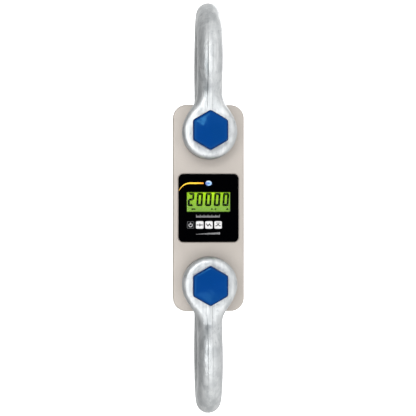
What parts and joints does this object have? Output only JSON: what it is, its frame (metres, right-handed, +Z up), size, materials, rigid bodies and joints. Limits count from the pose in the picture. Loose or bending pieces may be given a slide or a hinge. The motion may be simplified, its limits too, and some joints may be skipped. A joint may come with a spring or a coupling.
{
  "type": "crane scale",
  "caption": "Tension-link crane scale: a flat aluminium load link with a display and keys, hung between two bow shackles with blue hexagonal bolts.",
  "frame": {"origin": "where the crane hook bears: the inside of the upper bow's crown, on the line of pull", "axes": "+Z up along the line of pull; -Y is the way the display faces; +X is to the right of a person reading it"},
  "size_m": [0.132, 0.2409, 0.767],
  "materials": {
    "link_aluminium": "fine bead-blasted, warm grey",
    "galvanised_steel": "hot-dip galvanised forging",
    "blue_steel": "gloss blue paint, worn at the edges",
    "zinc_steel": "zinc plated",
    "stainless_steel": "satin",
    "black_nylon": "moulded",
    "black_overlay": "printed film, fine texture",
    "white_key": "printed film over a dome",
    "black_key": "printed film over a dome",
    "clear_window": "clear, polished",
    "lcd": "yellow-green, lit from behind",
    "backlight": "moulded light guide",
    "black_abs": "moulded",
    "circuit_board": "green solder mask",
    "chip_black": "moulded epoxy",
    "connector_white": "moulded nylon",
    "gasket_rubber": "closed-cell",
    "gauge_foil": "polyimide film",
    "ribbon_polyimide": "flexible circuit",
    "lead_red": "soft insulation",
    "cell_steel": "plain green sleeve",
    "spring_steel": "nickel plated wire"
  },
  "bodies": {
    "upper_shackle": {"upper_shackle_bow": "galvanised_steel"},
    "upper_bolt": {"upper_shackle_bolt": "blue_steel", "upper_shackle_nut": "galvanised_steel", "upper_split_pin": "zinc_steel", "upper_front_spacer": "black_nylon", "upper_rear_spacer": "black_nylon"},
    "load_link": {"load_link_body": "link_aluminium", "panel_gasket": "gasket_rubber", "panel_plate": "link_aluminium", "membrane_overlay": "black_overlay", "display_window": "clear_window", "lcd_frame": "black_abs", "lcd_glass": "lcd", "backlight_panel": "backlight", "main_board": "circuit_board", "processor_chip": "chip_black", "amplifier_chip": "chip_black", "power_connector": "connector_white", "power_key_switch": "chip_black", "zero_key_switch": "chip_black", "graph_key_switch": "chip_black", "peak_key_switch": "chip_black", "board_screw_1": "zinc_steel", "board_screw_2": "zinc_steel", "board_screw_3": "zinc_steel", "board_screw_4": "zinc_steel", "strain_gauge_1": "gauge_foil", "strain_gauge_2": "gauge_foil", "strain_gauge_3": "gauge_foil", "strain_gauge_4": "gauge_foil", "gauge_ribbon": "ribbon_polyimide", "battery_lead": "lead_red", "battery_holder": "black_abs", "cover_gasket": "gasket_rubber", "battery_cover": "stainless_steel", "battery_1": "cell_steel", "battery_spring_1": "spring_steel", "battery_2": "cell_steel", "battery_spring_2": "spring_steel", "battery_3": "cell_steel", "battery_spring_3": "spring_steel", "panel_screw_1": "zinc_steel", "panel_screw_2": "zinc_steel", "panel_screw_3": "zinc_steel", "panel_screw_4": "zinc_steel", "cover_screw_1": "stainless_steel", "cover_screw_2": "stainless_steel", "cover_screw_3": "stainless_steel", "cover_screw_4": "stainless_steel"},
    "power_button": {"power_key": "black_key"},
    "zero_button": {"zero_key": "white_key"},
    "graph_button": {"graph_key": "white_key"},
    "peak_button": {"peak_key": "white_key"},
    "lower_shackle": {"lower_shackle_bow": "galvanised_steel"},
    "lower_bolt": {"lower_shackle_bolt": "blue_steel", "lower_shackle_nut": "galvanised_steel", "lower_split_pin": "zinc_steel", "lower_front_spacer": "black_nylon", "lower_rear_spacer": "black_nylon"}
  },
  "joints": [
    {"name": "link_swing", "type": "hinge", "parent": "upper_shackle", "child": "load_link", "pos_m": [0, 0, -0.199], "axis": [0, 1, 0], "range_deg": [-155, 155]},
    {"name": "lower_shackle_swing", "type": "hinge", "parent": "load_link", "child": "lower_shackle", "pos_m": [0, 0, -0.476], "axis": [0, -1, 0], "range_deg": [-155, 155]},
    {"name": "upper_bolt_turn", "type": "hinge", "parent": "upper_shackle", "child": "upper_bolt", "pos_m": [0, 0, -0.199], "axis": [0, 1, 0], "continuous": true},
    {"name": "lower_bolt_turn", "type": "hinge", "parent": "lower_shackle", "child": "lower_bolt", "pos_m": [0, 0, -0.476], "axis": [0, 1, 0], "continuous": true},
    {"name": "power_key_press", "type": "slide", "parent": "load_link", "child": "power_button", "axis": [0, 1, 0], "range_m": [0, 0.0005], "stiffness_N_per_m": 2000, "springref_m": -0.0001},
    {"name": "zero_key_press", "type": "slide", "parent": "load_link", "child": "zero_button", "axis": [0, 1, 0], "range_m": [0, 0.0005], "stiffness_N_per_m": 2000, "springref_m": -0.0001},
    {"name": "graph_key_press", "type": "slide", "parent": "load_link", "child": "graph_button", "axis": [0, 1, 0], "range_m": [0, 0.0005], "stiffness_N_per_m": 2000, "springref_m": -0.0001},
    {"name": "peak_key_press", "type": "slide", "parent": "load_link", "child": "peak_button", "axis": [0, 1, 0], "range_m": [0, 0.0005], "stiffness_N_per_m": 2000, "springref_m": -0.0001}
  ]
}
